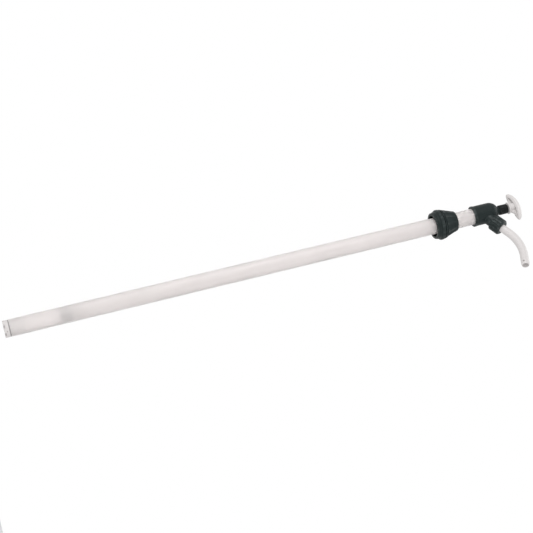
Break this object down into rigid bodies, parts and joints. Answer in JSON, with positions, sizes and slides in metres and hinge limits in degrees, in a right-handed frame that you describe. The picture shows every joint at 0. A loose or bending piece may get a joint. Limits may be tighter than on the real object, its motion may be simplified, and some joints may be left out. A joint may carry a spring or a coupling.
{
  "type": "hand lift pump",
  "caption": "Hand lift pump for drums: suction tube with foot valve, clamping bung adaptor, domed T-head with swivelling bent spout, and a piston rod drawn by a T-grip.",
  "frame": {"origin": "on the pump's axis, in the middle plane of the bung thread", "axes": "+Z along the pump's axis towards the grip; +X towards the side that the spout points to; the spout lies in the XZ plane"},
  "size_m": [0.1818, 0.0602, 1.0355],
  "materials": {
    "tube_plastic": "translucent natural polypropylene, satin, faint extrusion lines",
    "white_plastic": "translucent natural polypropylene, moulded, satin",
    "dark_plastic": "dark slate green-grey moulded polypropylene, fine grain",
    "seal_rubber": "black moulded rubber, matt",
    "ball_plastic": "smooth moulded plastic ball",
    "pin_steel": "stainless steel pin"
  },
  "bodies": {
    "adaptor": {"bung_adaptor": "dark_plastic"},
    "tube_seal": {"adaptor_seal": "seal_rubber"},
    "barrel": {"suction_tube": "tube_plastic", "pump_head": "dark_plastic", "head_o_ring": "seal_rubber", "foot_body": "white_plastic", "foot_seal_ring": "seal_rubber", "foot_valve_cage": "white_plastic", "rod_guide_bush": "white_plastic", "gland_packing": "seal_rubber"},
    "clamp_ring": {"clamp_ring": "dark_plastic"},
    "clamp_nut": {"clamp_nut": "dark_plastic"},
    "piston_seal": {"piston_cup_seal": "seal_rubber"},
    "rod": {"piston_rod": "white_plastic", "piston_body": "dark_plastic", "valve_stop": "dark_plastic", "piston_nut": "dark_plastic", "rod_buffer": "seal_rubber", "handle_collar": "white_plastic", "handle_grip": "white_plastic", "handle_pin": "pin_steel"},
    "piston_valve": {"piston_valve_disc": "seal_rubber"},
    "foot_valve": {"foot_valve_ball": "ball_plastic"},
    "gland_follower": {"gland_follower": "dark_plastic"},
    "gland_nut": {"gland_nut": "dark_plastic"},
    "spout_seal": {"spout_seal": "seal_rubber"},
    "spout": {"spout_pipe": "white_plastic"},
    "union_nut": {"union_nut": "dark_plastic"}
  },
  "joints": [
    {"name": "barrel_turn", "type": "hinge", "parent": "adaptor", "child": "tube_seal", "pos_m": [0, 0, 0], "axis": [0, 0, 1], "continuous": true},
    {"name": "barrel_depth", "type": "slide", "parent": "tube_seal", "child": "barrel", "axis": [0, 0, 1], "range_m": [-0.033, 0.8]},
    {"name": "clamp_ring_lift", "type": "slide", "parent": "adaptor", "child": "clamp_ring", "axis": [0, 0, 1], "range_m": [0, 0.003]},
    {"name": "clamp_nut_turn", "type": "hinge", "parent": "clamp_ring", "child": "clamp_nut", "pos_m": [0, 0, 0.02], "axis": [0, 0, 1], "range_deg": [0, 360]},
    {"name": "piston_stroke", "type": "slide", "parent": "barrel", "child": "piston_seal", "axis": [0, 0, 1], "range_m": [0, 0.82]},
    {"name": "rod_turn", "type": "hinge", "parent": "piston_seal", "child": "rod", "pos_m": [0, 0, 0.15], "axis": [0, 0, 1], "continuous": true},
    {"name": "piston_valve_lift", "type": "slide", "parent": "rod", "child": "piston_valve", "axis": [0, 0, 1], "range_m": [0, 0.004]},
    {"name": "foot_valve_lift", "type": "slide", "parent": "barrel", "child": "foot_valve", "axis": [0, 0, 1], "range_m": [0, 0.005]},
    {"name": "gland_follower_lift", "type": "slide", "parent": "barrel", "child": "gland_follower", "axis": [0, 0, 1], "range_m": [0, 0.0007501]},
    {"name": "gland_nut_turn", "type": "hinge", "parent": "gland_follower", "child": "gland_nut", "pos_m": [0, 0, 0.138], "axis": [0, 0, 1], "range_deg": [0, 180]},
    {"name": "union_draw_off", "type": "slide", "parent": "barrel", "child": "spout_seal", "axis": [0.9063, 0, 0.4226], "range_m": [0, 0.003]},
    {"name": "union_nut_turn", "type": "hinge", "parent": "spout_seal", "child": "union_nut", "pos_m": [0.03444, 0, 0.11056], "axis": [0.9063, 0, 0.4226], "range_deg": [0, 360]},
    {"name": "spout_swivel", "type": "hinge", "parent": "spout_seal", "child": "spout", "pos_m": [0.03444, 0, 0.11056], "axis": [0.9063, 0, 0.4226], "continuous": true}
  ],
  "couplings": [
    {"joint": "clamp_ring_lift", "follows": "clamp_nut_turn", "m_per_rad": 0.00047746},
    {"joint": "gland_follower_lift", "follows": "gland_nut_turn", "m_per_rad": 0.00023873},
    {"joint": "union_draw_off", "follows": "union_nut_turn", "m_per_rad": 0.00047746}
  ]
}
